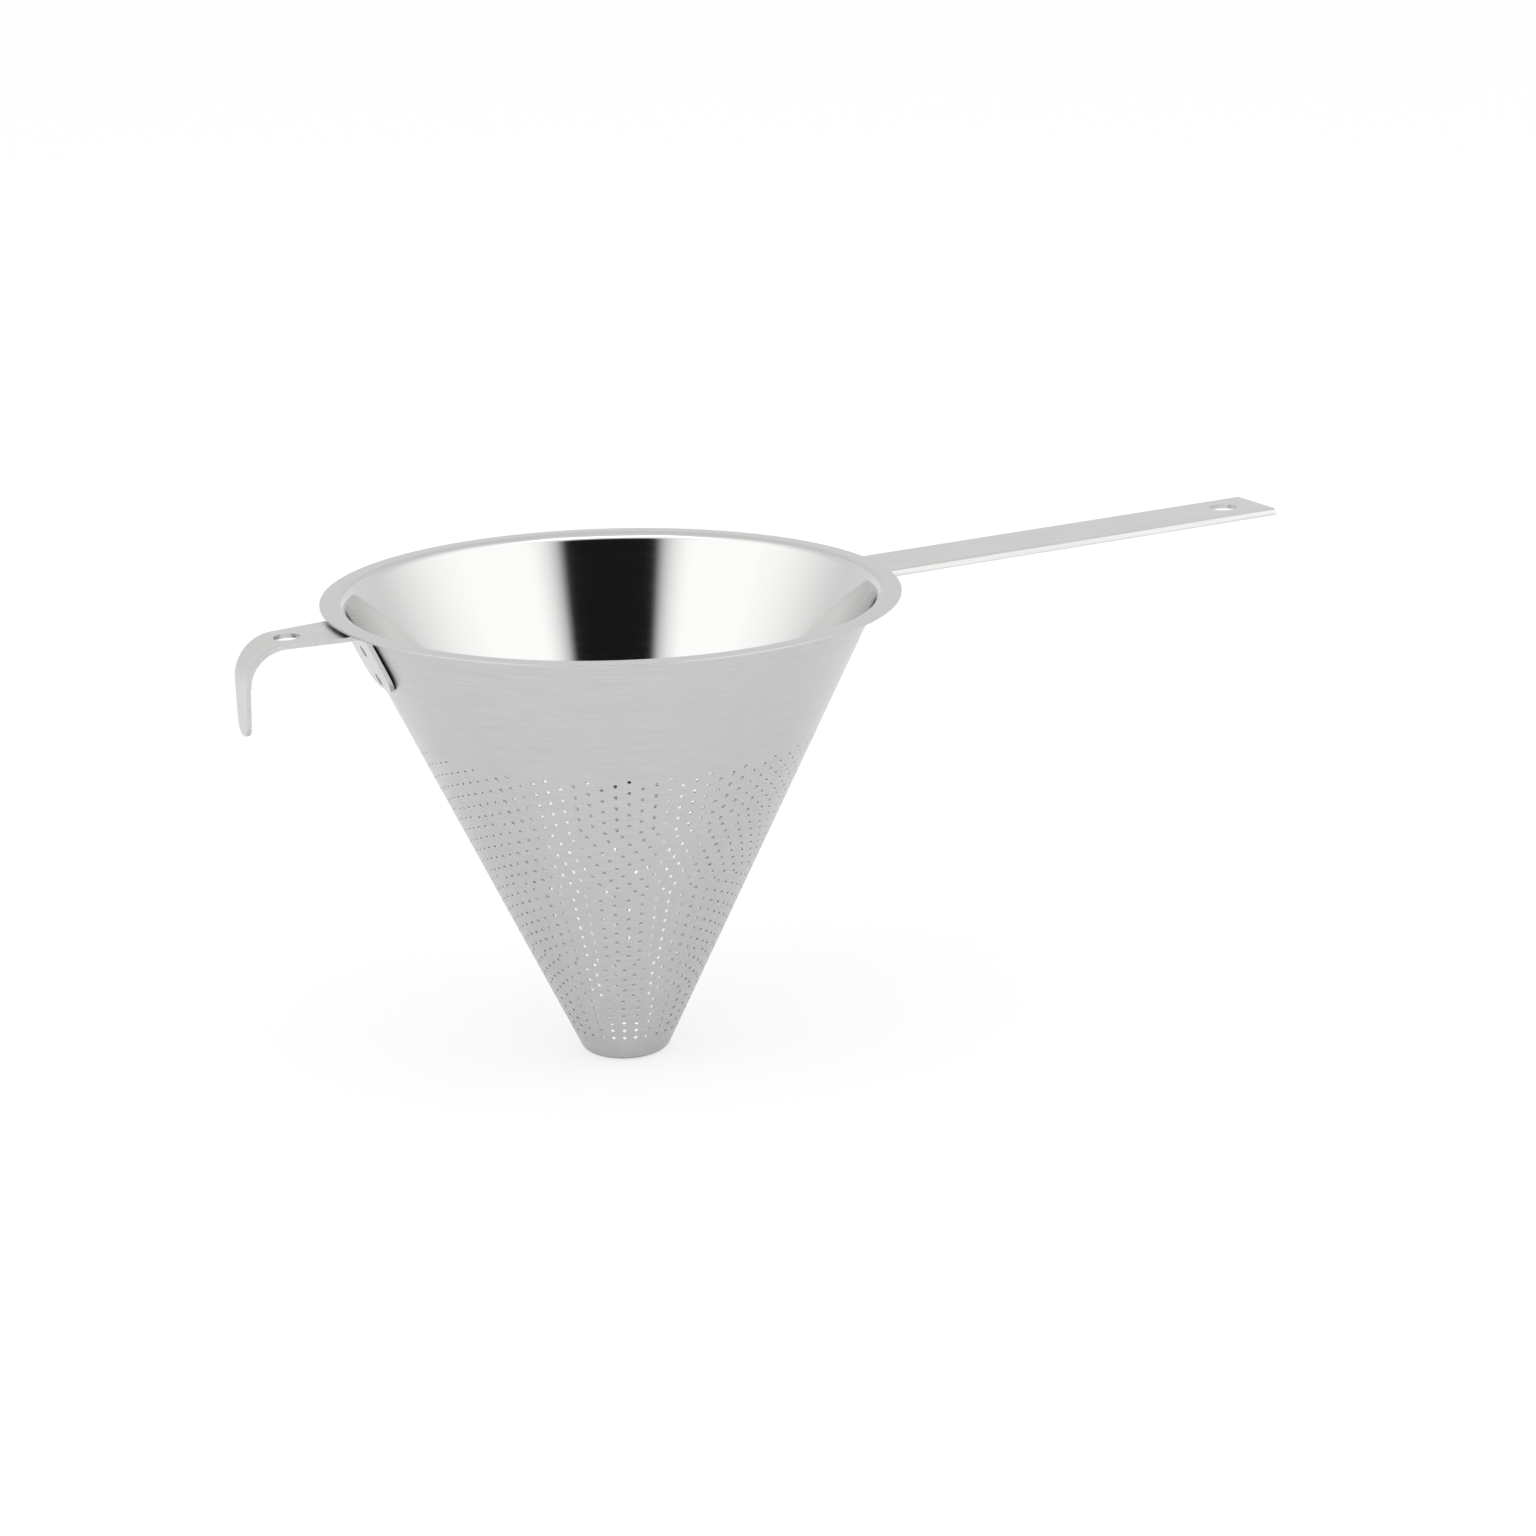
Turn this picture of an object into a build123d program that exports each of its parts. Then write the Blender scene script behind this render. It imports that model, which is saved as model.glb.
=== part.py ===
from build123d import *
import math
import os

os.makedirs("parts", exist_ok=True)

# Chinois strainer: a perforated cone with a long flat handle and a pot hook opposite it.
# Millimetres and degrees. The origin is the middle of the base's outer face, +Z is up
# the cone's axis and +X points along the handle.

# Cone and flange
rim_d = 200.0             # across the flange
total_depth = 169.0       # flange's top face to the base's outer face
flange_w = 7.0            # flange's edge in to the outer wall, carried up to the flange's top face
base_d = 30.8             # across the outer wall, carried down to the base
sheet = 1.0               # flange and base keep the full sheet
wall_sheet = 0.6          # spinning draws the wall out thinner
rim_bend_r = 3.4          # hollow side of the bend from wall to flange
base_bend_r = 2.0         # hollow side of the bend from wall to base
rim_edge_r = 0.3          # dulled edge of the flange

# Perforation: holes punched level through the wall with a round punch, so each is a little
# taller than it is wide where it meets the wall. They lie in rings one below another.
# A turn of the wall has as many upright columns as a ring has holes. A share places
# a ring's hole between its column's borders, and a step share moves the next ring on.
# Pitch shares part the height from the first ring to the last, wider towards the base.
hole_d = 1.4
ring_holes = 32
first_ring_depth = 47.7   # flange's top face to the first ring
last_ring_rise = 11.65    # base's outer face to the last ring
column_start = 4.86       # from the handle round to the first column's border

upper_rings = 11
upper_pitch_share = 2.0
upper_first_share = 0.887
upper_step_share = 2 / 3

middle_rings = 10
middle_pitch_share = 2.48
middle_first_share = 0.7
middle_step_share = 3 / 5

lower_rings = 10
lower_pitch_share = 3.03
lower_first_share = 0.367
lower_step_share = 1 / 2

narrow_rings = 5
narrow_pitch_share = 3.2
narrow_first_share = 0.16
narrow_step_share = 1 / 2

tip_rings = 5
tip_pitch_share = 3.9
tip_first_share = 0.52
tip_step_share = 0

# Both strips
strip_sheet = 1.5
root_bend_r = 2.0         # hollow side of the bend from tab to arm
flange_gap = 1.0          # flange's underside to the arm, at the flange's edge
overrun = 5.0             # cuts run this far past what they cut

# Handle
handle_w = 27.4
handle_reach = 266.8      # cone's axis to the handle's end
handle_rise = 1.9         # upward slope of the arm
handle_turn_r = 2.3       # outside of the turned-down long edges
handle_turn_inset = 4.0   # flange's edge back to where the long edges begin to turn down
handle_tab_drop = 30.0    # flange's top face to the end of the tab
handle_tab_corner_r = 7.0
hanging_hole_d = 10.0
hanging_hole_inset = 14.8

# Pot hook
hook_root_w = 25.0
hook_bend_w = 14.2        # where the leg begins
hook_tip_w = 11.1         # carried down to the tip
hook_droop = 1.8          # downward slope of the arm
hook_arm = 18.3           # flange's edge to where the leg's bend begins
hook_bend_r = 12.7        # hollow side of the leg's bend
hook_splay = 0.9          # how far the leg leans out from upright
hook_leg = 17.5           # straight part of the leg, tip included
hook_hole_d = 8.8
hook_hole_reach = 15.6    # flange's edge to the middle of the hole
hook_tip_r = 5.4          # round corners of the tip
hook_outline_steps = 7    # that carry the taper round the leg's bend
hook_tab_drop = 24.0
hook_tab_corner_r = 8.0

# Weld spots
weld_d = 4.4
weld_dimple = 0.25        # below the tab's outer face
upper_weld_drop = 10.0    # flange's top face to the upper spots
lower_weld_drop = 20.4
handle_weld_spread = 12.0 # between the two columns of spots on the wider tab

rim_r = rim_d / 2
mouth_r = rim_r - flange_w
base_r = base_d / 2
flange_under = total_depth - sheet
wall_gain = (mouth_r - base_r) / total_depth
wall_angle = math.degrees(math.atan(wall_gain))
wall_cos = math.cos(math.radians(wall_angle))
wall_sin = math.sin(math.radians(wall_angle))
wall_across = wall_sheet / wall_cos


def outer_radius(height):
    """Radius of the outer wall at a height above the base's outer face."""
    return base_r + wall_gain * height


def corners(sketch, *points):
    """The sketch's corners that lie nearest to the given points."""
    return [sketch.vertices().sort_by_distance(point)[0] for point in points]


# One column of the cone, before it is punched
base_out = (base_r, 0)
rim_hollow = (outer_radius(flange_under), flange_under)
rim_low = (rim_r, flange_under)
rim_top = (rim_r, total_depth)
rim_round = (mouth_r - wall_across, total_depth)
base_in = (outer_radius(sheet) - wall_across, sheet)
base_top = (0, sheet)

with BuildPart() as plain_column:
    with BuildSketch(Plane.XZ.rotated((0, 0, column_start))) as section:
        with BuildLine():
            Polyline((0, 0), base_out, rim_hollow, rim_low, rim_top, rim_round, base_in, base_top, close=True)
        make_face()
        fillet(corners(section, base_in), base_bend_r)
        fillet(corners(section, base_out), base_bend_r + sheet)
        fillet(corners(section, rim_hollow), rim_bend_r)
        fillet(corners(section, rim_round), rim_bend_r + sheet)
        fillet(corners(section, rim_low, rim_top), rim_edge_r)
    revolve(axis=Axis.Z, revolution_arc=360 / ring_holes)

inner_wall, outer_wall = plain_column.faces().filter_by(GeomType.CONE).sort_by(SortBy.AREA)[-2:]
rim_and_base = plain_column.faces().filter_by(GeomType.CYLINDER)
rim_and_base += plain_column.faces().filter_by(GeomType.TORUS)
rim_and_base += plain_column.faces().filter_by(Axis.Z)


zones = [
    (upper_rings, upper_pitch_share, upper_first_share, upper_step_share),
    (middle_rings, middle_pitch_share, middle_first_share, middle_step_share),
    (lower_rings, lower_pitch_share, lower_first_share, lower_step_share),
    (narrow_rings, narrow_pitch_share, narrow_first_share, narrow_step_share),
    (tip_rings, tip_pitch_share, tip_first_share, tip_step_share),
]

# Each ring's share of the pitch, and its place between its column's borders
pitch_shares = []
place_shares = []
for count, pitch_share, first_share, step_share in zones:
    for number in range(count):
        pitch_shares.append(pitch_share)
        place_shares.append((first_share + number * step_share) % 1)

# The step from ring to ring is the mean of their two pitches
step_shares = [(ring + next_ring) / 2 for ring, next_ring in zip(pitch_shares, pitch_shares[1:])]
pitch_unit = (total_depth - first_ring_depth - last_ring_rise) / sum(step_shares)
ring_depths = [first_ring_depth + pitch_unit * sum(step_shares[:number]) for number in range(len(pitch_shares))]


def hole_edge(middle, turn):
    """Oval where a hole, punched level this far round the cone, meets one of the wall's faces."""
    wall_up = Vector(wall_sin, 0, wall_cos).rotate(Axis.Z, turn)
    wall_in = Vector(-wall_cos, 0, wall_sin).rotate(Axis.Z, turn)
    return Edge.make_ellipse(hole_d / 2 / wall_cos, hole_d / 2, Plane(middle, x_dir=wall_up, z_dir=wall_in))


# The column's holes, one from each ring: an oval on each face of the wall and a bore between them
outer_edges = []
inner_edges = []
bores = []
for depth, share in zip(ring_depths, place_shares):
    turn = column_start + share * 360 / ring_holes
    punch = Vector(-wall_across, 0, 0).rotate(Axis.Z, turn)
    middle = Vector(outer_radius(total_depth - depth), 0, total_depth - depth).rotate(Axis.Z, turn)
    outer_edges.append(hole_edge(middle, turn))
    inner_edges.append(hole_edge(middle + punch, turn))
    bores.append(Face.extrude(outer_edges[-1], punch))

# The skin of all columns closes round the sheet
punched_outer = outer_wall.make_holes([Wire([edge]) for edge in outer_edges])
punched_inner = inner_wall.make_holes([Wire([edge]) for edge in inner_edges])
column_faces = [punched_outer, punched_inner, *bores, *rim_and_base]
skin = Shell([turn * face for turn in PolarLocations(0, ring_holes) for face in column_faces])

with BuildPart() as strainer_body:
    add(Solid(skin), clean=False)

strainer_body.part.label = "strainer_body"
export_step(strainer_body.part, "parts/strainer_body.step")


# Strips: each has a flat tab that lies along the wall and an arm that leaves under the flange
arm_height = flange_under - flange_gap
root_outer_r = root_bend_r + strip_sheet


def tab_foot(drop):
    """Radius and height of a tab's lower end on the wall."""
    return (outer_radius(total_depth - drop), total_depth - drop)


def root_corner(slope):
    """Radius and height where the wall's line meets the top of an arm that slopes up by this angle."""
    gain = math.tan(math.radians(slope))
    height = (arm_height - gain * (rim_r - base_r)) / (1 - gain * wall_gain)
    return (outer_radius(height), height)


def arm_point(slope, reach):
    """Radius and height of the arm's top face, this far out from the cone's axis."""
    return (reach, arm_height + (reach - rim_r) * math.tan(math.radians(slope)))


def weld_plane(drop, aside):
    """Plane of the handle's side of the wall at a weld spot, facing out."""
    foot = tab_foot(drop)
    return Plane((foot[0], aside, foot[1]), z_dir=(wall_cos, 0, -wall_sin))


weld_drops = (upper_weld_drop, lower_weld_drop)
weld_asides = (-handle_weld_spread / 2, handle_weld_spread / 2)
handle_weld_planes = [weld_plane(drop, aside) for drop in weld_drops for aside in weld_asides]
hook_weld_planes = [weld_plane(drop, 0) for drop in weld_drops]

# Handle: tab, bend and the arm's first stretch are flat, then the long edges turn down
channel_start = arm_point(handle_rise, rim_r - handle_turn_inset)
channel_end = arm_point(handle_rise, handle_reach)
channel_l = (handle_reach - rim_r + handle_turn_inset) / math.cos(math.radians(handle_rise))
arm_up = Vector(0, 0, 1).rotate(Axis.Y, -handle_rise)
arm_out = Vector(1, 0, 0).rotate(Axis.Y, -handle_rise)
channel_plane = Plane((channel_start[0], 0, channel_start[1]), x_dir=(0, 1, 0), z_dir=arm_out)
hanging_spot = arm_point(handle_rise, handle_reach - hanging_hole_inset)
tab_out = Axis((0, 0, 0), (wall_cos, 0, -wall_sin))

with BuildPart() as handle:
    with BuildSketch(Plane.XZ):
        with BuildLine():
            corner = root_corner(handle_rise)
            FilletPolyline(tab_foot(handle_tab_drop), corner, channel_start, radius=root_outer_r)
            offset(amount=strip_sheet, side=Side.RIGHT, closed=True)
        make_face()
    extrude(amount=handle_w / 2, both=True)
    fillet(handle.edges().filter_by(tab_out).sort_by(Axis.Z)[:2], handle_tab_corner_r)
    with BuildSketch(channel_plane):
        with BuildLine():
            Line((0, 0), (handle_w / 2 - handle_turn_r, 0))
            CenterArc((handle_w / 2 - handle_turn_r, -handle_turn_r), handle_turn_r, 0, 90)
            Line((handle_w / 2, -handle_turn_r), (handle_w / 2 - strip_sheet, -handle_turn_r))
            CenterArc((handle_w / 2 - handle_turn_r, -handle_turn_r), handle_turn_r - strip_sheet, 0, 90)
            Line((handle_w / 2 - handle_turn_r, -strip_sheet), (0, -strip_sheet))
            mirror(about=Plane.YZ)
        make_face()
    extrude(amount=channel_l)
    with Locations(Plane((hanging_spot[0], 0, hanging_spot[1]), z_dir=arm_up)):
        Hole(hanging_hole_d / 2)
    with Locations(*handle_weld_planes):
        Cylinder(weld_d / 2, 2 * overrun, mode=Mode.SUBTRACT)

handle.part.label = "handle"
export_step(handle.part, "parts/handle.step")


# Pot hook, built along +X like the handle, then turned to the other side
hook_outer_r = hook_bend_r + strip_sheet
hook_turn = 90 - hook_droop - hook_splay
arm_run = hook_arm + math.radians(hook_turn) * hook_outer_r
arm_end = arm_point(-hook_droop, rim_r + hook_arm * math.cos(math.radians(hook_droop)))
hook_spot = arm_point(-hook_droop, rim_r + hook_hole_reach)
hook_up = Vector(0, 0, 1).rotate(Axis.Y, hook_droop)


def hook_half_width(run):
    """Half the strip's width, this far along its top face from the flange's edge to the bend's end."""
    return (hook_root_w + (hook_bend_w - hook_root_w) * run / arm_run) / 2


def bend_outline(share):
    """Outline point in plan, at this share of the leg's bend."""
    angle = math.radians(hook_turn * share + hook_droop)
    reach = arm_end[0] + hook_outer_r * (math.sin(angle) - math.sin(math.radians(hook_droop)))
    return (reach, hook_half_width(hook_arm + (arm_run - hook_arm) * share))


bend_shares = [step / hook_outline_steps for step in range(hook_outline_steps + 1)]

with BuildPart() as hook_strip:
    with BuildSketch(Plane.XZ):
        with BuildLine():
            corner = root_corner(-hook_droop)
            arm = FilletPolyline(tab_foot(hook_tab_drop), corner, arm_end, radius=root_outer_r)
            leg_bend = JernArc(arm @ 1, arm % 1, hook_outer_r, -hook_turn)
            offset(amount=strip_sheet, side=Side.RIGHT, closed=True)
        make_face()
    extrude(amount=hook_root_w / 2, both=True)
    fillet(hook_strip.edges().filter_by(tab_out).sort_by(Axis.Z)[:2], hook_tab_corner_r)
    with BuildSketch():
        with BuildLine():
            Line((0, 0), (0, hook_root_w / 2))
            Line((0, hook_root_w / 2), (rim_r, hook_root_w / 2))
            Line((rim_r, hook_root_w / 2), bend_outline(0))
            bend_side = Spline([bend_outline(share) for share in bend_shares])
            leg_side = Line(bend_side @ 1, bend_side @ 1 + Vector(overrun, 0))
            Line(leg_side @ 1, ((leg_side @ 1).X, 0))
            mirror(about=Plane.XZ)
        make_face()
    extrude(amount=total_depth, mode=Mode.INTERSECT)
    leg_start = leg_bend @ 1
    leg_down = leg_bend % 1
    leg_plane = Plane((leg_start.X, 0, leg_start.Y), x_dir=(0, 1, 0), z_dir=(leg_down.Y, 0, -leg_down.X))
    tip_left = (-hook_tip_w / 2, hook_leg)
    tip_right = (hook_tip_w / 2, hook_leg)
    with BuildSketch(leg_plane) as leg:
        with BuildLine():
            Polyline((-hook_bend_w / 2, 0), tip_left, tip_right, (hook_bend_w / 2, 0), close=True)
        make_face()
        fillet(corners(leg, tip_left, tip_right), hook_tip_r)
    extrude(amount=strip_sheet)
    with Locations(Plane((hook_spot[0], 0, hook_spot[1]), z_dir=hook_up)):
        Hole(hook_hole_d / 2)
    with Locations(*hook_weld_planes):
        Cylinder(weld_d / 2, 2 * overrun, mode=Mode.SUBTRACT)

with BuildPart() as pot_hook:
    add(hook_strip.part.rotate(Axis.Z, 180))

pot_hook.part.label = "pot_hook"
export_step(pot_hook.part, "parts/pot_hook.step")

# Weld spots: each fills a tab's hole from the wall out to the dimple under the tab's outer face
with BuildPart() as handle_welds:
    with Locations(*handle_weld_planes):
        Cylinder(weld_d / 2, 2 * (strip_sheet - weld_dimple))
    Cone(base_r, mouth_r, total_depth, align=(Align.CENTER, Align.CENTER, Align.MIN), mode=Mode.SUBTRACT)

handle_welds.part.label = "handle_welds"
export_step(handle_welds.part, "parts/handle_welds.step")

with BuildPart() as weld_pair:
    with Locations(*hook_weld_planes):
        Cylinder(weld_d / 2, 2 * (strip_sheet - weld_dimple))
    Cone(base_r, mouth_r, total_depth, align=(Align.CENTER, Align.CENTER, Align.MIN), mode=Mode.SUBTRACT)

with BuildPart() as hook_welds:
    add(weld_pair.part.rotate(Axis.Z, 180))

hook_welds.part.label = "hook_welds"
export_step(hook_welds.part, "parts/hook_welds.step")
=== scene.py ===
# %% [markdown]
# # A chinois strainer in stainless steel
#
# A chinois is a kitchen sieve for sauces: a steel cone punched with fine holes, with a long
# flat handle on one side and a hook on the other that rests on the rim of a pot. The CAD
# model gives its five real pieces: the cone, the handle, the hook and two sets of weld
# spots. This lesson loads that model as a fixed frame, builds the cone again as a mesh with
# every hole and with exact normals, and gives each piece its real finish.

# %% The frame
import math

import bpy
import numpy as np
from mathutils import Matrix, Vector


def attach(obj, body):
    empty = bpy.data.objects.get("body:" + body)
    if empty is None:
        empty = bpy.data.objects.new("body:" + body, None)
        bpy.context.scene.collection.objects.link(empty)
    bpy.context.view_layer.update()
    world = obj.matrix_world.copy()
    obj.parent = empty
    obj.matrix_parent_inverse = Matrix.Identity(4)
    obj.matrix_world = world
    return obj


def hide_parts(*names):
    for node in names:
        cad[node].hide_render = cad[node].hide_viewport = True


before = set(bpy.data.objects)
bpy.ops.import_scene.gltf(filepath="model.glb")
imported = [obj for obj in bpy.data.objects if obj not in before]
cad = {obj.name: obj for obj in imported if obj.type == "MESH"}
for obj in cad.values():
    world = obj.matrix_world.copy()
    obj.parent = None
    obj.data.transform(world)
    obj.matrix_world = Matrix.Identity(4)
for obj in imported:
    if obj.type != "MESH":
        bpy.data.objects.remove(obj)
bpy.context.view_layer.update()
print("CAD pieces:", sorted(cad))

# %% [markdown]
# ## The cone's section
#
# The real cone is most likely one round of sheet, spun over a former until it has a flat
# flange at the mouth and a small flat base. Its section could be drawn by hand as a curve. Here it is
# worked out from the sizes of the CAD model, because a mirror finish shows every error in a
# normal: each corner is an arc that meets its two straight runs exactly, and every point
# keeps the direction in which the steel faces.

# %% Sizes in millimetres
mm = 0.001          # one of them in Blender's metres
rim_r = 100.0
mouth_r = 93.0
base_r = 15.4
depth = 169.0
sheet = 1.0         # flange and base
wall_sheet = 0.6    # the wall, a guess: spinning would draw it thinner
rim_bend_r = 3.4
base_bend_r = 2.0
rim_edge_r = 0.3

wall_gain = (mouth_r - base_r) / depth
wall_slope = math.atan(wall_gain)
wall_across = wall_sheet / math.cos(wall_slope)
print("the wall leans out", round(math.degrees(wall_slope), 1), "degrees")

# %% Corners of the section
def wall_radius(height, inside):
    """Radius of the wall's outer or inner face at a height."""
    return base_r + wall_gain * height - inside * wall_across


bend_steps = 10
section_corners = [
    ((0, sheet), 0),
    ((wall_radius(sheet, 1), sheet), base_bend_r),
    ((wall_radius(depth, 1), depth), rim_bend_r + sheet),
    ((rim_r, depth), rim_edge_r),
    ((rim_r, depth - sheet), rim_edge_r),
    ((wall_radius(depth - sheet, 0), depth - sheet), rim_bend_r),
    ((wall_radius(0, 0), 0), base_bend_r + sheet),
    ((0, 0), 0),
]


def bend(before, corner, after, radius):
    """Points of an arc that rounds a corner, each with the way the steel faces there."""
    run_in = Vector(corner) - Vector(before)
    run_out = Vector(after) - Vector(corner)
    turn = -run_in.angle_signed(run_out)
    start = Vector(corner) - run_in.normalized() * radius * math.tan(abs(turn) / 2)
    side = math.copysign(1, turn)
    facing = Vector((-run_in.y, run_in.x)).normalized()
    centre = start + side * facing * radius
    rows = []
    for step in range(bend_steps + 1):
        turned = Matrix.Rotation(turn * step / bend_steps, 2) @ facing
        rows.append((*(centre - side * turned * radius), *turned))
    return rows


section = [(0, sheet, 0, 1)]
for before, here, after in zip(section_corners, section_corners[1:], section_corners[2:]):
    section += bend(before[0], here[0], after[0], here[1])
section.append((0, 0, 0, -1))
print("section points:", len(section))

# %% [markdown]
# ## Where the holes are
#
# The holes are punched in rings, 32 to a ring. Going down the cone the rings keep their
# number of holes, so the holes crowd together and the maker spaces the rings wider. The
# rings fall into five zones, and inside a zone each ring is turned on by the same step,
# which makes the slanting lines of dots. The CAD model has fewer rings, because a physics
# engine takes only so many faces in one piece; the mesh here has all of them.

# %% Rings of holes
hole_d = 1.4
ring_holes = 32
first_ring_depth = 47.7
column_start = math.radians(4.86)

zones = [  # rings, pitch, first share, step share
    (15, 1.47, 0.887, 2 / 3),
    (15, 1.65, 0.7, 3 / 5),
    (15, 2.02, 0.367, 1 / 2),
    (7, 2.28, 0.16, 1 / 2),
    (6, 3.4, 0.52, 0),
]

rings = []
last_pitch = 0
for count, pitch, first_share, step_share in zones:
    start = rings[-1][0] + (last_pitch + pitch) / 2 if rings else first_ring_depth
    rings += [(start + i * pitch, (first_share + i * step_share) % 1) for i in range(count)]
    last_pitch = pitch
print("rings:", len(rings), "holes:", len(rings) * ring_holes)

# %% Heights that part one ring from the next
ring_heights = [depth - ring[0] for ring in rings]
band_edges = [(a + b) / 2 for a, b in zip(ring_heights, ring_heights[1:])]
band_edges.insert(0, ring_heights[0] + zones[0][1] / 2)
band_edges.append(ring_heights[-1] - zones[-1][1] / 2)
print("perforated from", round(band_edges[-1], 1), "to", round(band_edges[0], 1), "mm up")

# %% [markdown]
# ## One column of the cone
#
# Thirty-two equal columns make the whole cone, so only one is worked out. Holes could be
# cut by a boolean, which is slow here and leaves ragged normals. Instead every hole gets
# its own cell of the wall: a four-sided patch with points along its top and bottom, joined
# to the oval of the hole by a fan of triangles. The punch travels level, so a hole keeps
# its height and its width as it goes through the leaning wall, and the cell on the inner
# face has the same form as the cell on the outer face.

# %% Grid of the column
column_steps = 8
hole_steps = 16
column_turn = 2 * math.pi / ring_holes

points = []
faces = []
normals = []
slots = []
POLISHED, SATIN, FLANGE = 0, 1, 2
print("a column is", math.degrees(column_turn), "degrees wide")


def on_turn(radius, angle, height):
    """Place at a radius, an angle round the cone and a height."""
    return (radius * math.cos(angle), radius * math.sin(angle), height)


def add_face(corners, facing, slot):
    """One face of the column, with the direction in which the steel faces at each corner."""
    first = len(points)
    points.extend(corners)
    faces.append(range(first, first + len(corners)))
    normals.extend(facing)
    slots.append(slot)


# %% Rows without holes
def smooth_band(low, high, slot):
    """Faces between two points of the section, all the way across the column."""
    for step in range(column_steps):
        angles = [column_turn * (step + side) / column_steps for side in (0, 1)]
        ring = [(low, angles[0]), (high, angles[0]), (high, angles[1]), (low, angles[1])]
        if low[0] == 0:
            ring.pop()
        if high[0] == 0:
            ring.pop(2)
        add_face([on_turn(row[0], a, row[1]) for row, a in ring],
                 [on_turn(row[2], a, row[3]) for row, a in ring], slot)


wall_top, wall_bottom = band_edges[0], band_edges[-1]
flange_in = mouth_r - rim_edge_r
for low, high in zip(section, section[1:]):
    across_holes = min(low[1], high[1]) < wall_bottom and max(low[1], high[1]) > wall_top
    slot = POLISHED if low[3] > 0 else SATIN
    if low[0] > flange_in and high[0] > flange_in and low[3] > 0:
        slot = FLANGE
    if not across_holes:
        smooth_band(low, high, slot)
        continue
    inside = low[1] < high[1]
    marks = [(wall_radius(z, inside), z, low[2], low[3]) for z in (wall_bottom, wall_top)]
    if inside:
        smooth_band(low, marks[0], slot)
        smooth_band(marks[1], high, slot)
    else:
        smooth_band(low, marks[1], slot)
        smooth_band(marks[0], high, slot)
print("faces in a column without its holes:", len(faces))

# %% A cell with its hole
def oval(height, middle, inside):
    """Edge of a hole where the level punch meets a face of the wall: angles and heights."""
    edge = []
    for step in range(hole_steps):
        around = 2 * math.pi * step / hole_steps
        aside = hole_d / 2 * math.cos(around)
        up = height + hole_d / 2 * math.sin(around)
        edge.append((middle + math.asin(aside / wall_radius(up, inside)), up))
    return edge


def cell_border(low, high, first_step):
    """The cell's outline, anticlockwise as the outside of the cone sees it."""
    steps = range(first_step, first_step + column_steps + 1)
    angles = [column_turn * step / column_steps for step in steps]
    return [(a, low) for a in angles] + [(a, high) for a in reversed(angles)]


def fan(border, edge, middle, height, radius):
    """Triangles between a cell's outline and its hole, in order round the hole's middle."""
    def bearing(place):
        return math.atan2(place[1] - height, (place[0] - middle) * radius) % (2 * math.pi)

    outline = sorted(border, key=bearing)
    inner = sorted(edge, key=bearing)
    turns = [bearing(place) for place in outline] + [bearing(outline[0]) + 2 * math.pi]
    inner_turns = [bearing(place) for place in inner] + [bearing(inner[0]) + 2 * math.pi]
    triangles = []
    a = b = 0
    while a < len(outline) or b < len(inner):
        here, there = outline[a % len(outline)], inner[b % len(inner)]
        if b == len(inner) or (a < len(outline) and turns[a + 1] <= inner_turns[b + 1]):
            a += 1
            triangles.append((here, outline[a % len(outline)], there))
        else:
            b += 1
            triangles.append((here, inner[b % len(inner)], there))
    return triangles


# %% All the column's cells
facing_out = (math.cos(wall_slope), -math.sin(wall_slope))
for number, (ring_depth, share) in enumerate(rings):
    height = depth - ring_depth
    middle = share * column_turn
    first_step = round((share - 0.5) * column_steps)
    border = cell_border(band_edges[number + 1], band_edges[number], first_step)
    edges = [oval(height, middle, inside) for inside in (0, 1)]
    for inside in (0, 1):
        sign = -1 if inside else 1
        for triangle in fan(border, edges[inside], middle, height, wall_radius(height, inside)):
            ring = triangle[::-1] if inside else triangle
            add_face([on_turn(wall_radius(z, inside), a, z) for a, z in ring],
                     [on_turn(sign * facing_out[0], a, sign * facing_out[1]) for a, z in ring],
                     POLISHED if inside else SATIN)
    for step in range(hole_steps):
        after = (step + 1) % hole_steps
        ring = [(step, 0), (after, 0), (after, 1), (step, 1)]
        corners = []
        facing = []
        for s, inside in ring:
            a, z = edges[inside][s]
            around = 2 * math.pi * s / hole_steps
            corners.append(on_turn(wall_radius(z, inside), a, z))
            aside = Vector((math.sin(middle), -math.cos(middle), 0)) * math.cos(around)
            facing.append(tuple(aside - Vector((0, 0, math.sin(around)))))
        add_face(corners, facing, SATIN)
print("faces in a column:", len(faces))

# %% [markdown]
# ## The whole cone
#
# The column is turned 32 times about the cone's axis. Neighbouring faces share their
# points once equal points are welded, and the kept directions become the mesh's own
# normals, so the mirror inside stays clean although the triangles round the holes are thin.

# %% Turn, weld and make the mesh
weld_decimals = 4   # of a millimetre: points that agree to these are one point


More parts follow.
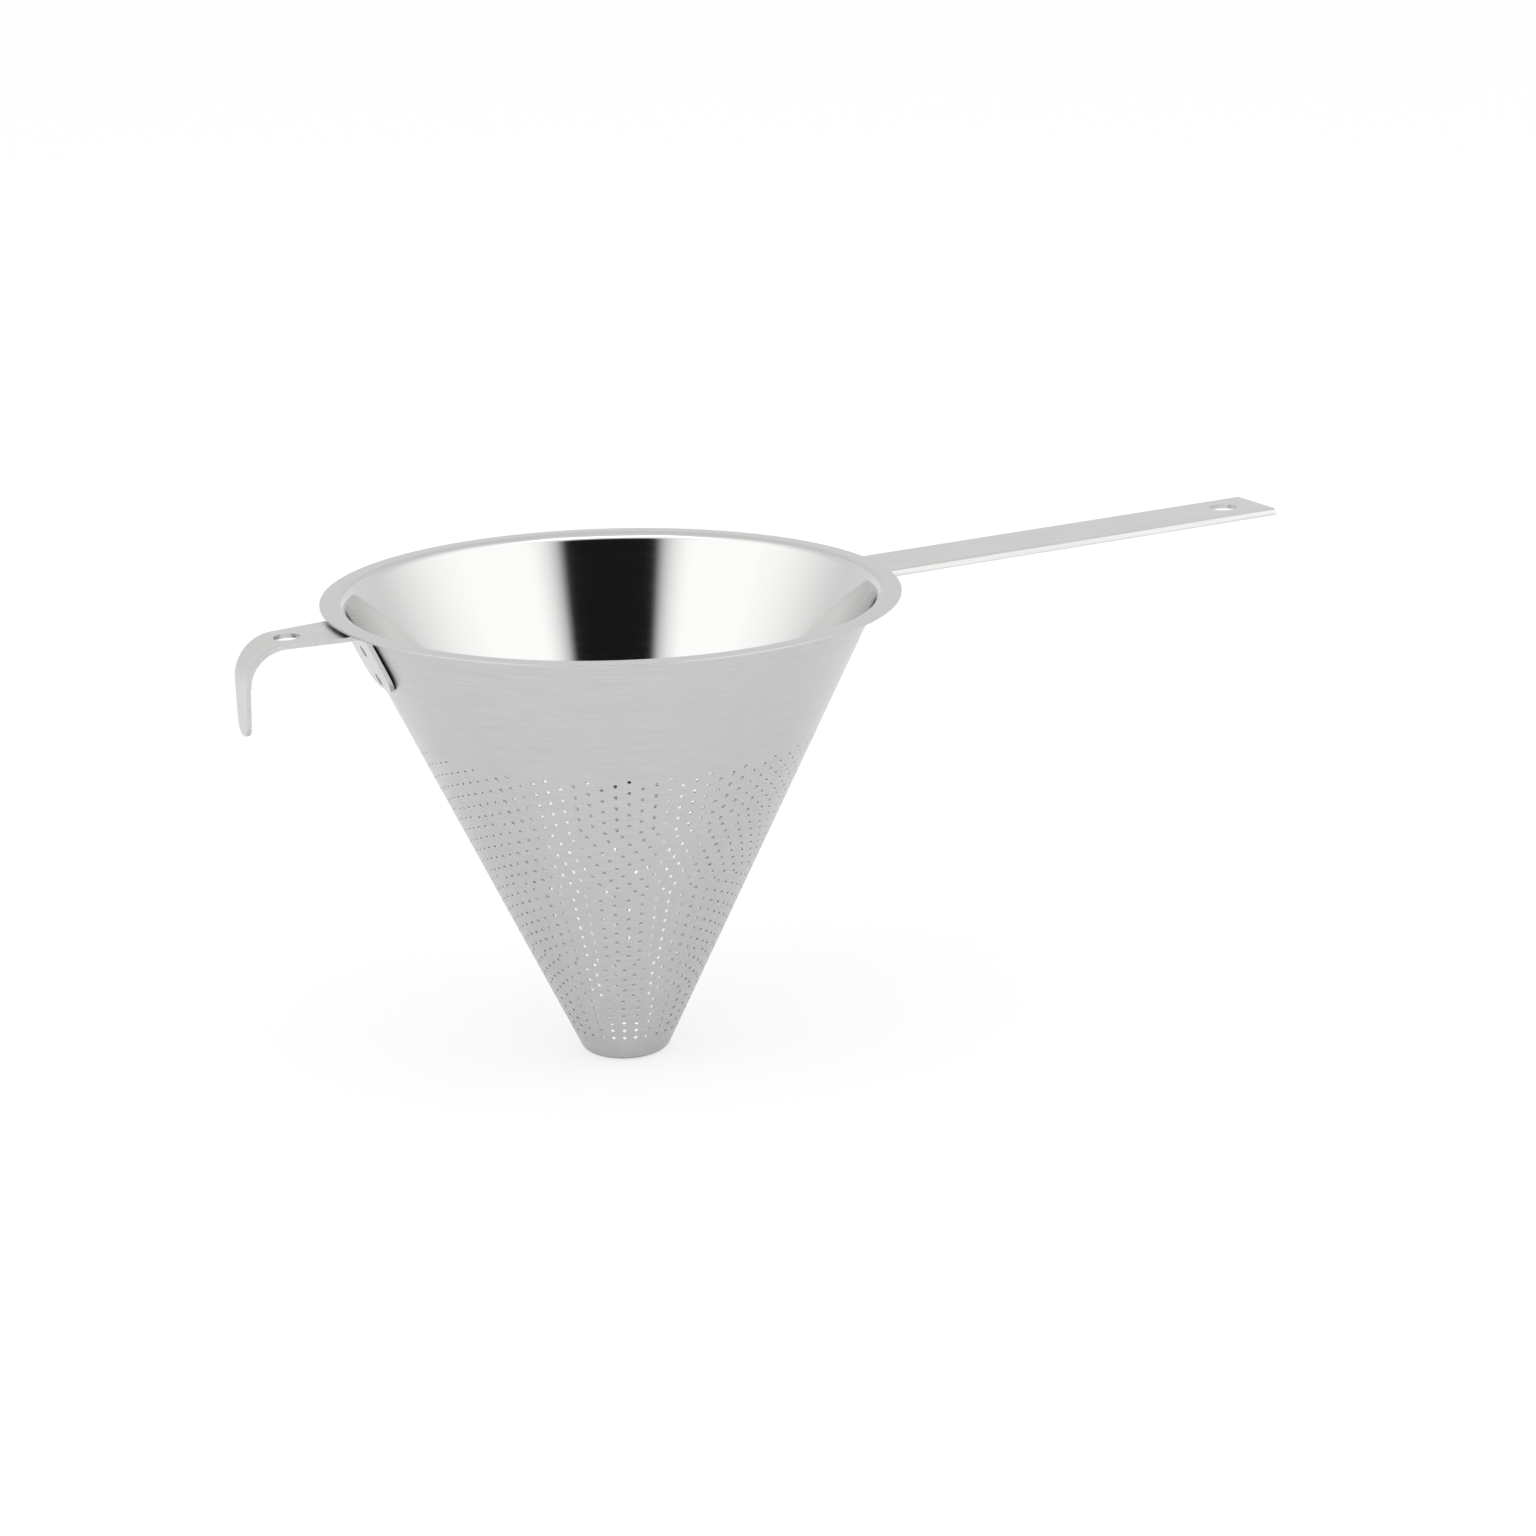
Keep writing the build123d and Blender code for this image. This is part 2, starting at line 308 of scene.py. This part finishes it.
def whole_cone(name):
    """The cone's mesh in metres, from the one column."""
    all_points = []
    all_normals = []
    for column in range(ring_holes):
        turn = column_start + column * column_turn
        spin = np.array(Matrix.Rotation(turn, 3, "Z"))
        all_points.append(np.array(points) @ spin.T)
        all_normals.append(np.array(normals) @ spin.T)
    stacked = np.vstack(all_points)
    welded, place = np.unique(np.round(stacked, weld_decimals), axis=0, return_inverse=True)
    place = place.reshape(-1)
    all_faces = []
    for column in range(ring_holes):
        shift = column * len(points)
        all_faces += [[int(place[i + shift]) for i in face] for face in faces]
    mesh = bpy.data.meshes.new(name)
    mesh.from_pydata((welded * mm).tolist(), [], all_faces)
    mesh.polygons.foreach_set("material_index", slots * ring_holes)
    mesh.shade_smooth()
    mesh.normals_split_custom_set(np.vstack(all_normals).tolist())
    mesh.update()
    return mesh


cone = bpy.data.objects.new("punched_cone", whole_cone("punched_cone"))
bpy.context.scene.collection.objects.link(cone)
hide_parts("strainer_body")
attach(cone, "root")
print("cone faces:", len(cone.data.polygons), "points:", len(cone.data.vertices))

# %% [markdown]
# ## Finishes
#
# Everything looks like stainless steel, probably the common 18/10 grade, so the pieces
# differ only in how their surface was made. By its look, the inside was polished on the
# lathe and mirrors the room. The outside was left with the fine rings of the brushing belt.
# The two strips were satin ground along their length before they were bent, and the weld
# spots are bare metal, dulled by heat.

# %% Helpers for the materials and the world
def linear(hex_colour):
    """An sRGB hex colour as the linear values that a shader takes."""
    shares = [int(hex_colour[i:i + 2], 16) / 255 for i in (1, 3, 5)]
    return [s / 12.92 if s <= 0.04045 else ((s + 0.055) / 1.055) ** 2.4 for s in shares] + [1]


def put(tree, kind, sockets, **settings):
    """Add a node, with its settings, and with a value or a link for each socket named."""
    made = tree.nodes.new(kind)
    for name, value in settings.items():
        setattr(made, name, value)
    for name, value in sockets.items():
        if isinstance(value, bpy.types.NodeSocket):
            tree.links.new(value, made.inputs[name])
        else:
            made.inputs[name].default_value = value
    return made


def new_material(name):
    """An empty node material and its node tree."""
    material = bpy.data.materials.new(name)
    material.use_nodes = True
    material.node_tree.nodes.clear()
    return material, material.node_tree


# A Mix node has its sockets once for each kind of data, under the same names, so those of a
# colour mix are chosen by number.
SHARE_IN, DARK_IN, LIGHT_IN, COLOUR_OUT = 0, 6, 7, 2

bump_depth = 0.2 * mm
most_noise = {"From Min": 0.3, "From Max": 0.7}     # most of a noise lies in between

# %% [markdown]
# ### Rings of the brushing belt
#
# The belt leaves lines round the cone, about 0.1 mm apart, far too fine to show at this
# distance. The lines are drawn here as coarse as they need to be to show, about 0.5 mm.
# The pattern is noise that is read in directions from the axis, so it is drawn out round
# the cone and has no seam.

# %% Spun pattern
line_mm = 0.5


def round_the_axis(tree, across_mm, along_turn):
    """Noise drawn out round the Z axis: fine up the wall, long round it."""
    place = put(tree, "ShaderNodeTexCoord", {})
    level = {0: place.outputs["Object"], 1: (1, 1, 0)}
    flat = put(tree, "ShaderNodeVectorMath", level, operation="MULTIPLY")
    turn = put(tree, "ShaderNodeVectorMath", {0: flat.outputs[0]}, operation="NORMALIZE")
    stretch = {0: turn.outputs[0], "Scale": along_turn}
    drawn = put(tree, "ShaderNodeVectorMath", stretch, operation="SCALE")
    high = put(tree, "ShaderNodeSeparateXYZ", {0: place.outputs["Object"]})
    per_line = {0: high.outputs["Z"], 1: 1 / (across_mm * mm)}
    lift = put(tree, "ShaderNodeMath", per_line, operation="MULTIPLY")
    up = put(tree, "ShaderNodeCombineXYZ", {"Z": lift.outputs[0]})
    both = put(tree, "ShaderNodeVectorMath", {0: drawn.outputs[0], 1: up.outputs[0]}, operation="ADD")
    noise = put(tree, "ShaderNodeTexNoise", {"Vector": both.outputs[0], "Scale": 1, "Detail": 3})
    return noise.outputs["Fac"]


# %% [markdown]
# ### Polished inside
#
# Mirror-polished steel is still a little rough, so the edges of what it mirrors are soft.
# Faint lathe rings make the roughness vary.

# %% Polished material
lathe_ring_mm = 2.0
lathe_ring_run = 2.0

polished, tree = new_material("stainless_polished_inside")
rings_fine = round_the_axis(tree, lathe_ring_mm, lathe_ring_run)
rough = put(tree, "ShaderNodeMapRange", {"Value": rings_fine, "To Min": 0.07, "To Max": 0.12})
dent = put(tree, "ShaderNodeBump", {"Height": rings_fine, "Strength": 0.03, "Distance": bump_depth})
shader = put(tree, "ShaderNodeBsdfPrincipled", {
    "Base Color": linear("#CACAC9"), "Metallic": 1.0,
    "Roughness": rough.outputs[0], "Normal": dent.outputs[0]})
put(tree, "ShaderNodeOutputMaterial", {"Surface": shader.outputs[0]})
print("finish:", polished.name)

# %% [markdown]
# ### Satin outside
#
# Brushed rings spread a reflection up and down the wall and keep it narrow round the cone.
# That is what the shader's anisotropy does, with its tangent laid round the Z axis.

# %% Satin material
line_run = 6.0
cloud_mm = 14.0
cloud_run = 1.2

satin, tree = new_material("stainless_satin_outside")
lines = round_the_axis(tree, line_mm, line_run)
cloud = round_the_axis(tree, cloud_mm, cloud_run)
shade = put(tree, "ShaderNodeMapRange", {"Value": lines, **most_noise})
tone = put(tree, "ShaderNodeMix", {
    SHARE_IN: shade.outputs[0], DARK_IN: linear("#BDBCBC"),
    LIGHT_IN: linear("#C5C4C4")}, data_type="RGBA")
rough = put(tree, "ShaderNodeMapRange", {"Value": cloud, "To Min": 0.26, "To Max": 0.36})
dent = put(tree, "ShaderNodeBump", {"Height": lines, "Strength": 0.08, "Distance": bump_depth})
lay = put(tree, "ShaderNodeTangent", {}, direction_type="RADIAL", axis="Z")
shader = put(tree, "ShaderNodeBsdfPrincipled", {
    "Base Color": tone.outputs[COLOUR_OUT], "Metallic": 1.0, "Roughness": rough.outputs[0],
    "Anisotropic": 0.6, "Tangent": lay.outputs[0], "Normal": dent.outputs[0]})
put(tree, "ShaderNodeOutputMaterial", {"Surface": shader.outputs[0]})
print("finish:", satin.name)

# %% [markdown]
# ### Satin flange
#
# The flange was turned flat last and shows fine circles. It is a shade darker than the
# strips, and it gets its own material, because its grain lies round the axis across a flat
# face, where the wall's pattern, drawn by height, would not change at all. The circles are
# as coarse as the wall's lines, for the same reason.

# %% Flange material
flange, tree = new_material("stainless_turned_flange")
place = put(tree, "ShaderNodeTexCoord", {})
level = {0: place.outputs["Object"], 1: (1, 1, 0)}
flat = put(tree, "ShaderNodeVectorMath", level, operation="MULTIPLY")
out = put(tree, "ShaderNodeVectorMath", {0: flat.outputs[0]}, operation="LENGTH")
per_line = {0: out.outputs["Value"], 1: 1 / (line_mm * mm)}
circles = put(tree, "ShaderNodeMath", per_line, operation="MULTIPLY")
turned = put(tree, "ShaderNodeTexNoise", {"W": circles.outputs[0], "Scale": 1, "Detail": 2},
             noise_dimensions="1D")
tone = put(tree, "ShaderNodeMix", {
    SHARE_IN: turned.outputs["Fac"], DARK_IN: linear("#B8B7B6"),
    LIGHT_IN: linear("#C6C5C4")}, data_type="RGBA")
rough = put(tree, "ShaderNodeMapRange", {
    "Value": turned.outputs["Fac"], "To Min": 0.24, "To Max": 0.36})
dent = put(tree, "ShaderNodeBump", {
    "Height": turned.outputs["Fac"], "Strength": 0.08, "Distance": bump_depth})
shader = put(tree, "ShaderNodeBsdfPrincipled", {
    "Base Color": tone.outputs[COLOUR_OUT], "Metallic": 1.0,
    "Roughness": rough.outputs[0], "Normal": dent.outputs[0]})
put(tree, "ShaderNodeOutputMaterial", {"Surface": shader.outputs[0]})
for finish in (polished, satin, flange):
    cone.data.materials.append(finish)
print("finishes of the cone:", [finish.name for finish in cone.data.materials])

# %% [markdown]
# ### Satin strips
#
# The handle and the hook were cut from a ground strip. Its grain runs along the strip, so
# it changes quickly across Y, which is across both strips, and slowly along X and Z. The
# real grain is too fine to show at this distance, so it is drawn about 0.4 mm wide.

# %% Strip material
grain_mm = 0.4
grain_length_mm = 40.0
grain_per_m = 1 / (grain_mm * mm)
along_per_m = 1 / (grain_length_mm * mm)
wear_per_m = 60

strip, tree = new_material("stainless_ground_strip")
place = put(tree, "ShaderNodeTexCoord", {})
grain_place = put(tree, "ShaderNodeMapping", {
    "Vector": place.outputs["Object"], "Scale": (along_per_m, grain_per_m, along_per_m)})
grain = put(tree, "ShaderNodeTexNoise", {"Vector": grain_place.outputs[0], "Scale": 1, "Detail": 3})
wear = put(tree, "ShaderNodeTexNoise", {
    "Vector": place.outputs["Object"], "Scale": wear_per_m, "Detail": 2})
shade = put(tree, "ShaderNodeMapRange", {"Value": grain.outputs["Fac"], **most_noise})
tone = put(tree, "ShaderNodeMix", {
    SHARE_IN: shade.outputs[0], DARK_IN: linear("#BFBEBD"),
    LIGHT_IN: linear("#CBCAC9")}, data_type="RGBA")
rough = put(tree, "ShaderNodeMapRange", {"Value": wear.outputs["Fac"], "To Min": 0.28, "To Max": 0.38})
dent = put(tree, "ShaderNodeBump", {
    "Height": grain.outputs["Fac"], "Strength": 0.08, "Distance": bump_depth})
shader = put(tree, "ShaderNodeBsdfPrincipled", {
    "Base Color": tone.outputs[COLOUR_OUT], "Metallic": 1.0,
    "Roughness": rough.outputs[0], "Normal": dent.outputs[0]})
put(tree, "ShaderNodeOutputMaterial", {"Surface": shader.outputs[0]})
print("finish:", strip.name)

# %% [markdown]
# ### Weld spots
#
# A spot weld leaves a small sunk disc, matt and a shade darker than the strip round it.

# %% Weld material
speck_per_m = 900

weld, tree = new_material("stainless_spot_weld")
place = put(tree, "ShaderNodeTexCoord", {})
scale = put(tree, "ShaderNodeTexNoise", {
    "Vector": place.outputs["Object"], "Scale": speck_per_m, "Detail": 4})
tone = put(tree, "ShaderNodeMix", {
    SHARE_IN: scale.outputs["Fac"], DARK_IN: linear("#8E8B87"),
    LIGHT_IN: linear("#BDBBB8")}, data_type="RGBA")
rough = put(tree, "ShaderNodeMapRange", {
    "Value": scale.outputs["Fac"], "To Min": 0.38, "To Max": 0.55})
dent = put(tree, "ShaderNodeBump", {
    "Height": scale.outputs["Fac"], "Strength": 0.3, "Distance": bump_depth})
shader = put(tree, "ShaderNodeBsdfPrincipled", {
    "Base Color": tone.outputs[COLOUR_OUT], "Metallic": 1.0,
    "Roughness": rough.outputs[0], "Normal": dent.outputs[0]})
put(tree, "ShaderNodeOutputMaterial", {"Surface": shader.outputs[0]})
print("finish:", weld.name)

# %% Finishes of the pieces that stay from the CAD model
node_finishes = {"handle": strip, "pot_hook": strip, "handle_welds": weld, "hook_welds": weld}
for node, finish in node_finishes.items():
    cad[node].data.materials.clear()
    cad[node].data.materials.append(finish)
    print(node, "gets", finish.name)

# %% [markdown]
# ## Studio
#
# The strainer stands on its small base on a white floor that runs back past the camera's
# view. The floor is white to the camera and in the steel, and its matt share keeps the
# strainer's own soft shadow. The steel sees more of the matt share than the camera does,
# so the shadow round the base darkens the tip a little.

# %% Floor
white = linear("#FFFFFF")


def seen_or_mirrored(tree):
    """1 for a ray from the camera, or one that a mirror or glass sends on."""
    path = put(tree, "ShaderNodeLightPath", {})
    seen = put(tree, "ShaderNodeMath", {
        0: path.outputs["Is Camera Ray"], 1: path.outputs["Is Glossy Ray"]}, operation="MAXIMUM")
    return put(tree, "ShaderNodeMath", {
        0: seen.outputs[0], 1: path.outputs["Is Transmission Ray"]}, operation="MAXIMUM").outputs[0]


floor_half = 30.0
floor_mesh = bpy.data.meshes.new("floor")
floor_sides = ((-1, -1), (1, -1), (1, 1), (-1, 1))
floor_corners = [(x * floor_half, y * floor_half, 0) for x, y in floor_sides]
floor_mesh.from_pydata(floor_corners, [], [(0, 1, 2, 3)])
floor = bpy.data.objects.new("floor", floor_mesh)
bpy.context.scene.collection.objects.link(floor)

glow_in_steel = 0.12
glow_to_camera = 0.6

paper, tree = new_material("studio_white_paper")
matt = put(tree, "ShaderNodeBsdfDiffuse", {"Color": linear("#FDFDFD")})
glow = put(tree, "ShaderNodeEmission", {"Color": white, "Strength": seen_or_mirrored(tree)})
path = put(tree, "ShaderNodeLightPath", {})
glow_share = put(tree, "ShaderNodeMapRange", {
    "Value": path.outputs["Is Camera Ray"], "To Min": glow_in_steel, "To Max": glow_to_camera})
both = put(tree, "ShaderNodeMixShader", {
    "Fac": glow_share.outputs[0], 1: matt.outputs[0], 2: glow.outputs[0]})
put(tree, "ShaderNodeOutputMaterial", {"Surface": both.outputs[0]})
floor_mesh.materials.append(paper)
print("floor:", 2 * floor_half, "m square")

# %% [markdown]
# ## Light tent
#
# The light comes from a white tent. To the camera and to matt surfaces it is plain white.
# Only the steel's mirrored rays see more: a bright panel on each side of the camera, a
# black card above the camera, and a brighter softbox above the card. The card is the dark
# upright patch in the polished inside, and it darkens the middle holes of the upper rings.
# The softbox is there for the rows of white holes, which were dark without it. The tent
# could be built of real panels round the strainer. It is drawn in the world instead, where
# nothing stands in the way of a view from another side.
#
# The levels and edges were changed until grey levels at chosen places of the render came
# near those of the photograph, so they say nothing about the steel itself. The card hangs
# clear of the horizon, because a card down to the horizon blackens the flange and the
# handle as seen from behind. Two weak lamps light the floor, and the steel doesn't mirror
# them.

# %% Tent
camera_side = math.radians(-111.9)      # where the camera stands, as seen from above
tent_by_side = [  # how far a direction points to the side, brightness of the tent there
    (0, 1.0), (0.3, 1.0), (0.42, 1.4), (0.55, 1.65), (0.85, 1.65), (1, 1.4),
]
card_by_turn = [  # degrees from the camera's side, share of the card there
    (0, 1), (22.5, 1), (27, 0.35), (32, 0.1), (38, 0), (180, 0),
]
card_level = 0.008
# Each pair below is where a panel, the card or the softbox begins and is full, or begins to
# end and is gone: low and top by how far a direction points up, front by how far it points
# to the camera's side.
card_low = (0.36, 0.46)
card_top = (0.70, 0.80)
softbox_level = 2.6
softbox_front = (-0.02, 0.14)
softbox_low = (0.84, 0.90)
softbox_top = (0.965, 0.985)
panels_front = (-0.7, 0.1)
print("tent levels from", card_level, "to", softbox_level)

# %% Helpers for the tent
def ramp(tree, value, stops_wanted):
    """Grey levels by position, from 0 to 1, with straight runs between them."""
    made = put(tree, "ShaderNodeValToRGB", {0: value})
    stops = made.color_ramp.elements
    for number, (at, level) in enumerate(sorted(stops_wanted)):
        stop = stops[number] if number < 2 else stops.new(at)
        stop.position = at
        stop.color = (level, level, level, 1)
    return made.outputs[0]


def rise(value, limits):
    """A soft step from 0 to 1 between two limits."""
    step = {"Value": value, "From Min": limits[0], "From Max": limits[1]}
    return put(tree, "ShaderNodeMapRange", step, interpolation_type="SMOOTHSTEP").outputs[0]


# %% The direction that a ray leaves in
world = bpy.data.worlds.new("studio")
bpy.context.scene.world = world
world.use_nodes = True
tree = world.node_tree
tree.nodes.clear()
place = put(tree, "ShaderNodeTexCoord", {})
way = place.outputs["Generated"]
front = (math.cos(camera_side), math.sin(camera_side), 0)
aside = (-math.sin(camera_side), math.cos(camera_side), 0)
sideways = put(tree, "ShaderNodeVectorMath", {0: way, 1: aside}, operation="DOT_PRODUCT")
ahead = put(tree, "ShaderNodeVectorMath", {0: way, 1: front}, operation="DOT_PRODUCT")
high = put(tree, "ShaderNodeSeparateXYZ", {0: way})
print("nodes for the direction:", len(tree.nodes))

# %% Panels on both sides
either = put(tree, "ShaderNodeMath", {0: sideways.outputs["Value"]}, operation="ABSOLUTE")
half = ramp(tree, either.outputs[0], [(at, level / 2) for at, level in tent_by_side])
panels = put(tree, "ShaderNodeMath", {0: half, 1: 2}, operation="MULTIPLY")
in_front = rise(ahead.outputs["Value"], panels_front)
walls = put(tree, "ShaderNodeMix", {"Factor": in_front, "A": 1.0, "B": panels.outputs[0]})
print("brightest side panel:", max(level for at, level in tent_by_side))

# %% Black card
flat = put(tree, "ShaderNodeVectorMath", {0: way, 1: (1, 1, 0)}, operation="MULTIPLY")
turn = put(tree, "ShaderNodeVectorMath", {0: flat.outputs[0]}, operation="NORMALIZE")
facing = put(tree, "ShaderNodeVectorMath", {0: turn.outputs[0], 1: front}, operation="DOT_PRODUCT")
share = put(tree, "ShaderNodeMapRange", {"Value": facing.outputs["Value"], "From Min": -1})
card_stops = [((math.cos(math.radians(turn_off)) + 1) / 2, dark) for turn_off, dark in card_by_turn]
card_wide = ramp(tree, share.outputs[0], card_stops)
card_band = {0: rise(high.outputs["Z"], card_low), 1: rise(high.outputs["Z"], card_top)}
card_high = put(tree, "ShaderNodeMath", card_band, operation="SUBTRACT")
card = put(tree, "ShaderNodeMath", {0: card_wide, 1: card_high.outputs[0]}, operation="MULTIPLY")
darkened = put(tree, "ShaderNodeMix", {"Factor": card.outputs[0], "A": walls.outputs[0], "B": card_level})
card_lifts = [round(math.degrees(math.asin(up))) for up in (card_low[0], card_top[1])]
print("card from and to, in degrees above the horizon:", card_lifts)

# %% Softbox, and the world
softbox_band = {0: rise(high.outputs["Z"], softbox_low), 1: rise(high.outputs["Z"], softbox_top)}
below_roof = put(tree, "ShaderNodeMath", softbox_band, operation="SUBTRACT")
softbox = put(tree, "ShaderNodeMath", {
    0: below_roof.outputs[0], 1: rise(ahead.outputs["Value"], softbox_front)}, operation="MULTIPLY")
tent = put(tree, "ShaderNodeMix", {
    "Factor": softbox.outputs[0], "A": darkened.outputs[0], "B": softbox_level})
path = put(tree, "ShaderNodeLightPath", {})
level = put(tree, "ShaderNodeMix", {
    "Factor": path.outputs["Is Glossy Ray"], "A": 1.0, "B": tent.outputs[0]})
sky = put(tree, "ShaderNodeBackground", {"Color": white, "Strength": level.outputs[0]})
put(tree, "ShaderNodeOutputWorld", {"Surface": sky.outputs[0]})
print("world nodes:", len(tree.nodes))

# %% Soft lamps
aim = Vector((0, 0, 0.1))
lamp_turn = 70
lamp_lift = 50
lamp_size = 1.2
lamp_watts = 6
lamp_distance = 2.0


def round_the_set(turn, lift, distance):
    """Place at a turn from the camera's side, a lift above the floor and a distance."""
    a = camera_side + math.radians(turn)
    up = math.radians(lift)
    way_out = Vector((math.cos(up) * math.cos(a), math.cos(up) * math.sin(a), math.sin(up)))
    return aim + distance * way_out


for name, turn in (("softbox_left", -lamp_turn), ("softbox_right", lamp_turn)):
    lamp = bpy.data.lights.new(name, "AREA")
    lamp.size = lamp_size
    lamp.energy = lamp_watts
    box = bpy.data.objects.new(name, lamp)
    box.location = round_the_set(turn, lamp_lift, lamp_distance)
    box.rotation_euler = (aim - box.location).to_track_quat("-Z", "Y").to_euler()
    box.visible_glossy = False
    bpy.context.scene.collection.objects.link(box)
    print(name, "at", [round(v, 2) for v in box.location])

# %% [markdown]
# ## Camera
#
# The camera looks down 17 degrees on the flange, from the side where the handle goes off to
# the right and away. It was found by matching the flange's ellipse, the base and the ends
# of the handle and the hook in the photograph.

# %% Camera
photo_px = 1536
focal_px = 2800
sensor_mm = 36
pitch = 0.3001      # radians that it looks down
roll = 0.0148       # radians that it leans
photo_turn_degrees = -25.12     # from the frame of the fit, with its Y away from the camera
from_flange = Vector((0.0530, -0.9421, 0.2263))     # metres, in the frame of the fit

side = Vector((1, 0, 0))
climb = Vector((0, math.sin(pitch), math.cos(pitch)))
look = Vector((0, math.cos(pitch), -math.sin(pitch)))
right = math.cos(roll) * side - math.sin(roll) * climb
up = math.sin(roll) * side + math.cos(roll) * climb
axes = Matrix((right, up, -look)).transposed()
photo_turn = Matrix.Rotation(math.radians(photo_turn_degrees), 3, "Z")
spot = photo_turn @ from_flange + Vector((0, 0, depth * mm))

lens = bpy.data.cameras.new("camera")
lens.sensor_width = sensor_mm
lens.lens = focal_px / photo_px * sensor_mm
camera = bpy.data.objects.new("camera", lens)
camera.matrix_world = Matrix.Translation(spot) @ (photo_turn @ axes).to_4x4()
bpy.context.scene.collection.objects.link(camera)
bpy.context.scene.camera = camera
bpy.context.scene.view_settings.view_transform = "Standard"
print("camera at", [round(v, 3) for v in spot])
